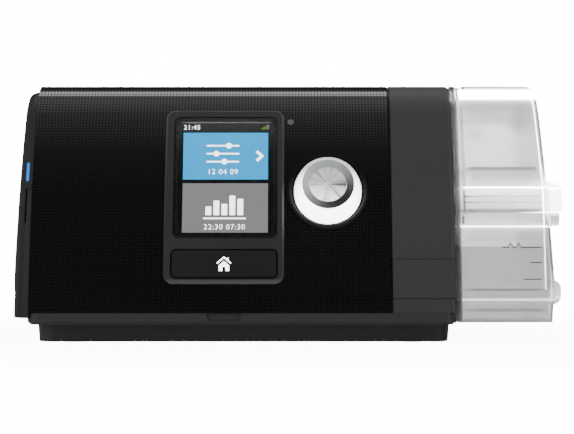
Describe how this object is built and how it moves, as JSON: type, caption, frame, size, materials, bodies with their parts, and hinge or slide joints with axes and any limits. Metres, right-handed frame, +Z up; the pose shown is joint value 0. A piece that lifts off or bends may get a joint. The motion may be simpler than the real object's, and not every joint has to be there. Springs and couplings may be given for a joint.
{
  "type": "cpap machine",
  "caption": "Bedside breathing-therapy machine with a colour screen, dial, home and start buttons, and a slide-in clear water tub with a hinged lid.",
  "frame": {"origin": "on the table, under the centre of the machine's bounding box", "axes": "+X to the right towards the water tub, +Y to the rear where the air outlet is, +Z up"},
  "size_m": [0.2499, 0.15, 0.118],
  "materials": {
    "gloss_black": "glossy moulded wrap with a fine square dot pattern",
    "band_grey": "fine matte moulded grey",
    "case_dark": "matte moulded, near black",
    "cap_dark": "satin moulded, near black",
    "plinth_dark": "matte moulded, near black",
    "bezel_dark": "satin moulded, dark grey",
    "key_dark": "satin moulded key",
    "screen_glass": "polished window",
    "display": "lit colour display",
    "dish_dark": "glossy dark dish",
    "knob_clear": "translucent white knob",
    "knob_metal": "turned metal",
    "steel": "plain steel",
    "sensor": "smoked window",
    "light_blue": "lit blue light pipe",
    "tub_clear": "frosted clear moulding",
    "tub_plate": "pressed metal sheet",
    "gasket": "soft translucent seal",
    "rubber_dark": "soft dark rubber",
    "heater": "anodised plate",
    "insulator": "insulating block",
    "white_plastic": "plain moulded inner part",
    "impeller_plastic": "moulded fan wheel",
    "foam": "open foam",
    "filter_white": "pleated filter paper",
    "board_green": "coated circuit board",
    "socket_black": "moulded socket",
    "card_blue": "moulded memory card"
  },
  "bodies": {
    "machine": {"front_cover": "gloss_black", "dock_cover": "band_grey", "label_plate": "band_grey", "rear_case": "case_dark", "left_end_cap": "cap_dark", "lower_case": "case_dark", "base_plinth": "plinth_dark", "feet": "rubber_dark", "case_screws": "steel", "screen_bezel": "bezel_dark", "screen_lens": "screen_glass", "lcd_panel": "display", "lcd_frame": "white_plastic", "control_board": "board_green", "home_switch": "socket_black", "dial_surround": "dish_dark", "encoder_body": "socket_black", "light_sensor_lens": "sensor", "start_switch": "board_green", "dock_liner": "case_dark", "bay_seal": "rubber_dark", "outlet_connector": "case_dark", "heater_plate": "heater", "heater_insulator": "insulator", "blower_lower": "white_plastic", "blower_upper": "white_plastic", "blower_motor": "steel", "blower_mount": "rubber_dark", "blower_duct": "white_plastic", "inlet_muffler": "foam", "main_board": "board_green", "power_inlet": "socket_black", "clip_bracket": "case_dark", "filter_frame": "white_plastic", "air_filter": "filter_white", "card_light": "light_blue", "card_board": "board_green", "card_socket": "steel"},
    "start_key": {"start_button": "gloss_black"},
    "home_key": {"home_button": "key_dark"},
    "dial_rotor": {"encoder_rotor": "white_plastic"},
    "dial": {"dial_body": "knob_clear", "dial_ring": "knob_metal", "dial_disc": "knob_metal", "dial_shaft": "steel"},
    "tub": {"tub_base": "tub_clear", "tub_plate": "tub_plate", "lid_hinge_pin": "steel"},
    "lid": {"tub_lid": "tub_clear", "tub_baffle": "tub_clear", "tub_gasket": "gasket"},
    "filter_door": {"filter_cover": "case_dark"},
    "card_flap": {"card_door": "cap_dark"},
    "card": {"memory_card": "card_blue"},
    "plug_clip": {"retention_clip": "case_dark"},
    "side_cover": {"adapter_cover": "cap_dark"},
    "fan": {"impeller": "impeller_plastic", "motor_shaft": "steel"}
  },
  "joints": [
    {"name": "start_press", "type": "slide", "parent": "machine", "child": "start_key", "axis": [0, 0, -1], "range_m": [0, 0.0008], "stiffness_N_per_m": 600, "springref_m": -0.001},
    {"name": "home_press", "type": "slide", "parent": "machine", "child": "home_key", "axis": [0, 0.9381, -0.3464], "range_m": [0, 0.0007], "stiffness_N_per_m": 600, "springref_m": -0.001},
    {"name": "dial_turn", "type": "hinge", "parent": "machine", "child": "dial_rotor", "pos_m": [0.0166, -0.06098, 0.0686], "axis": [0, -0.9343, 0.3564], "continuous": true},
    {"name": "dial_press", "type": "slide", "parent": "dial_rotor", "child": "dial", "axis": [0, 0.9343, -0.3564], "range_m": [0, 0.0006], "stiffness_N_per_m": 600, "springref_m": -0.001},
    {"name": "tub_slide", "type": "slide", "parent": "machine", "child": "tub", "axis": [1, 0, 0], "range_m": [0, 0.11]},
    {"name": "lid_hinge", "type": "hinge", "parent": "tub", "child": "lid", "pos_m": [0.0786, 0.004, 0.11445], "axis": [0, -0.9976, 0.0698], "range_deg": [0, 90]},
    {"name": "filter_hinge", "type": "hinge", "parent": "machine", "child": "filter_door", "pos_m": [-0.0842, 0.0562, 0.055], "axis": [0, 0, 1], "range_deg": [0, 110]},
    {"name": "card_hinge", "type": "hinge", "parent": "machine", "child": "card_flap", "pos_m": [-0.1234, -0.0133, 0.0605], "axis": [0, 0, -1], "range_deg": [0, 95]},
    {"name": "card_push", "type": "slide", "parent": "machine", "child": "card", "axis": [1, 0, 0], "range_m": [0, 0.001], "stiffness_N_per_m": 300, "springref_m": -0.001},
    {"name": "clip_hinge", "type": "hinge", "parent": "machine", "child": "plug_clip", "pos_m": [-0.01, 0.0584, 0.033], "axis": [1, 0, 0], "range_deg": [0, 120]},
    {"name": "side_cover_pull", "type": "slide", "parent": "machine", "child": "side_cover", "axis": [-1, 0, 0], "range_m": [0, 0.02]},
    {"name": "fan_spin", "type": "hinge", "parent": "machine", "child": "fan", "pos_m": [-0.06, 0.002, 0.024], "axis": [0, 0, 1], "continuous": true}
  ]
}
